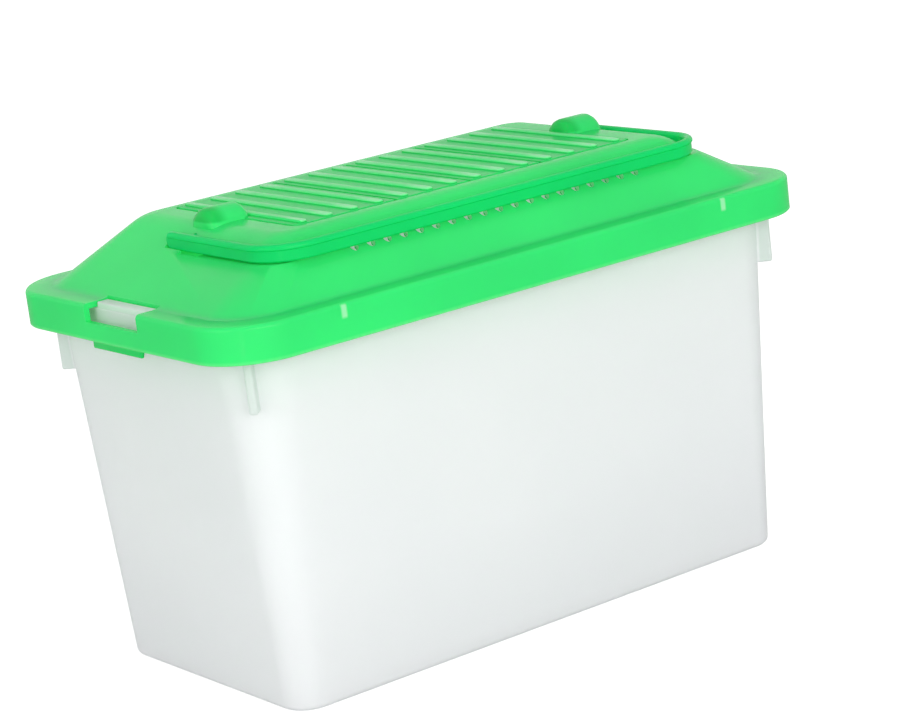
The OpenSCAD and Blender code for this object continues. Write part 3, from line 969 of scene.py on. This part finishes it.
def mouth_mask(tree, coords):
    """One on the inner side of the wall near the rim, and zero elsewhere."""
    inner = BASE_R - TANK_WALL
    return times(tree, past(tree, axis(tree, coords, "Z"), MOUTH_LOW, MOUTH_HIGH),
                 within(tree, outward(tree, coords), inner + 0.2, inner + 0.8))


def fin_mask(tree, coords):
    """One on the fins and the rim, which stand out past the wall, and zero elsewhere."""
    return past(tree, outward(tree, coords), BASE_R + 0.2, BASE_R + 0.8)


print("the mouth's tint starts at", MOUTH_LOW, "and is full at", MOUTH_HIGH)

# %% [markdown]
# ## Milky tank plastic
# The tank is unpigmented polypropylene, which is cloudy and not clear like glass. Part of the
# light scatters inside and part goes through, so the shader mixes a soft transmission into a pale
# base colour. The wall is a little greyer near the floor, as painted shade, and the fins and the
# rim are greyer too. The tabs' sides take a painted green cast, and the inside of the mouth a faint
# painted tint and a very weak painted glow, for the light that the green lid lets through.

# %% Milky plastic
MILKY, MILKY_CLOUD, LOW_SHADE_GREY = (0.965, 0.97, 0.98), (0.945, 0.952, 0.965), (0.88, 0.885, 0.90)
# The tabs' tint on the next line is a painted green cast of the light that the lid lets through.
FIN_GREY, TAB_LID_LIGHT_GREEN, MOUTH_GREEN = (0.78, 0.84, 0.81), (0.78, 0.93, 0.83), (0.5, 0.97, 0.62)
MOUTH_GLOW, MOUTH_TINT, MOUTH_LIGHT, GREY_TOP = (0.68, 1.0, 0.8, 1), 0.22, 0.05, 35
tank_finish, tree, shader, coords = node_material("milky_polypropylene")
cloud = ramp(tree, noise(tree, coords, 22.0, 2.0), 0.3, 0.7)
colour = mix_colour(tree, cloud, MILKY, MILKY_CLOUD)
# Painted shade: the wall gets greyer towards the floor.
low = within(tree, axis(tree, coords, "Z"), 0.0, GREY_TOP)
mouth = mouth_mask(tree, coords)
for mask, tint in ((times(tree, low, 0.5), LOW_SHADE_GREY), (fin_mask(tree, coords), FIN_GREY),
                   (tab_lid_light_mask(tree, coords), TAB_LID_LIGHT_GREEN), (times(tree, mouth, MOUTH_TINT), MOUTH_GREEN)):
    colour = mix_colour(tree, mask, colour, tint)
shader.inputs["Emission Color"].default_value = MOUTH_GLOW
tree.links.new(times(tree, mouth, MOUTH_LIGHT), shader.inputs["Emission Strength"])
tree.links.new(ramp(tree, noise(tree, coords, 140.0), 0.3, 0.7, 0.32, 0.42), shader.inputs["Roughness"])
shader.inputs["IOR"].default_value = PLASTIC_IOR
shader.inputs["Transmission Weight"].default_value = 0.2
shader.inputs["Subsurface Weight"].default_value = 0.2
shader.inputs["Subsurface Radius"].default_value = (1.0, 1.0, 1.0)
shader.inputs["Subsurface Scale"].default_value = 0.003
finish_plastic(tree, shader, colour)
print("tank nodes", len(tree.nodes))

# %% [markdown]
# ## Dressing the parts
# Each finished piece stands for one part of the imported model, so it replaces that part's node
# and rides on its body. The node gets the same plastic, because it may be shown by itself.

# %% Dress the parts
for piece, finish, node, body, slot in (
        (tank, tank_finish, "tank", "tank_body", "clear_plastic"),
        (lid, lid_finish, "lid", "lid_body", "green_plastic"),
        (handle, handle_finish, "carry_handle", "handle_body", "handle_plastic")):
    piece.data.materials.clear()
    piece.data.materials.append(finish)
    for p in piece.data.polygons:
        p.material_index = 0
        p.use_smooth = True
    piece.data.set_sharp_from_angle(angle=SHARP_ANGLE)
    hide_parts(node)
    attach(piece, body)
    node_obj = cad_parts[node]
    node_obj.data.materials.clear()
    node_obj.data.materials.append(finish)
    print(piece.name, "faces", len(piece.data.polygons))

# %% [markdown]
# ## Floor
# The keeper stands on a white floor, made of one big disc. The floor is a plain light grey for
# the object's shadow, with a little light of its own towards the camera, so that it looks white.

# %% Floor
FLOOR_LIGHT = 0.6
bm = bmesh.new()
bmesh.ops.create_circle(bm, cap_ends=True, segments=96, radius=3.0)
floor = to_object(bm, "floor")
mat, tree, shader, coords = node_material("white_floor")
shader.inputs["Base Color"].default_value = (0.75, 0.75, 0.75, 1)
shader.inputs["Roughness"].default_value = 1.0
shader.inputs["Specular IOR Level"].default_value = 0.0
path = tree.nodes.new("ShaderNodeLightPath")
seen = math_node(tree, "MAXIMUM", path.outputs["Is Camera Ray"], path.outputs["Is Transmission Ray"])
shader.inputs["Emission Color"].default_value = (1, 1, 1, 1)
tree.links.new(times(tree, seen, FLOOR_LIGHT), shader.inputs["Emission Strength"])
floor.data.materials.append(mat)

# %% [markdown]
# ## World
# The world is plain white to the eye, in reflections and through the plastic, and dimmer as a
# lamp. A light path node tells the two apart, so the background stays white and the object keeps
# its shadows.

# %% World
WORLD_LIGHT = 0.62
world = bpy.data.worlds.new("studio")
bpy.context.scene.world = world
world.use_nodes = True
tree = world.node_tree
back = tree.nodes["Background"]
back.inputs["Color"].default_value = (1, 1, 1, 1)
path = tree.nodes.new("ShaderNodeLightPath")
seen = math_node(tree, "MAXIMUM", path.outputs["Is Camera Ray"], path.outputs["Is Glossy Ray"])
seen = math_node(tree, "MAXIMUM", seen, path.outputs["Is Transmission Ray"])
strength = tree.nodes.new("ShaderNodeMapRange")
strength.inputs["To Min"].default_value = WORLD_LIGHT
strength.inputs["To Max"].default_value = 1.0
tree.links.new(seen, strength.inputs["Value"])
tree.links.new(strength.outputs["Result"], back.inputs["Strength"])
print("world", world.name, "light", WORLD_LIGHT)

# %% [markdown]
# ## Lamps
# A large key lamp in front and a fill on the left model the form, as two soft boxes would. Two
# small lamps add fine highlights on the near corner and the lid's top, where the real plastic
# shines.

# %% Lamps
def lamp(name, place, aim, size, power):
    data = bpy.data.lights.new(name, "AREA")
    data.shape = "RECTANGLE"
    data.size, data.size_y = size
    data.energy = power
    obj = bpy.data.objects.new(name, data)
    bpy.context.scene.collection.objects.link(obj)
    obj.location = place
    obj.rotation_mode = "QUATERNION"
    obj.rotation_quaternion = (Vector(aim) - Vector(place)).to_track_quat("-Z", "Y")
    print("lamp", name, power, "W")


lamp("key", (-0.25, -0.90, 0.32), (0, 0, 0.06), (0.9, 0.5), 5.3)
lamp("fill", (-0.85, -0.10, 0.30), (0, 0, 0.06), (0.6, 0.5), 1.8)
lamp("strip", (-0.30, -0.225, 0.05), (-0.066, -0.036, 0.075), (0.006, 0.08), 0.02)
lamp("overhead", (-0.17, -0.05, 0.58), (-0.03, -0.02, 0.08), (0.09, 0.09), 0.22)

# %% [markdown]
# ## Camera
# The camera looks down at the near left corner and is rolled a little, so the box seems to lean.
# Its axes are worked out from the compass angle, the tilt and the roll, and written to its matrix.

# %% Camera
AZIMUTH, ELEVATION, ROLL = (math.radians(a) for a in (35.42, 13.694, -7.15))
EYE = (-0.36045, -0.51621, 0.20630)
LENS, SENSOR = 120.18, 36.0
cam_data = bpy.data.cameras.new("camera")
cam = bpy.data.objects.new("camera", cam_data)
bpy.context.scene.collection.objects.link(cam)
cam_data.sensor_width = SENSOR
cam_data.lens = LENS
forward = Vector((math.sin(AZIMUTH) * math.cos(ELEVATION), math.cos(AZIMUTH) * math.cos(ELEVATION),
                  -math.sin(ELEVATION)))
level = Vector((math.cos(AZIMUTH), -math.sin(AZIMUTH), 0))
upright = level.cross(forward)
right = level * math.cos(ROLL) + upright * math.sin(ROLL)
up = upright * math.cos(ROLL) - level * math.sin(ROLL)
cam.matrix_world = Matrix((
    (right.x, up.x, -forward.x, EYE[0]),
    (right.y, up.y, -forward.y, EYE[1]),
    (right.z, up.z, -forward.z, EYE[2]),
    (0, 0, 0, 1)))
bpy.context.scene.camera = cam
bpy.context.scene.view_settings.view_transform = "Standard"
print("camera", cam.matrix_world.translation, "lens", cam_data.lens)
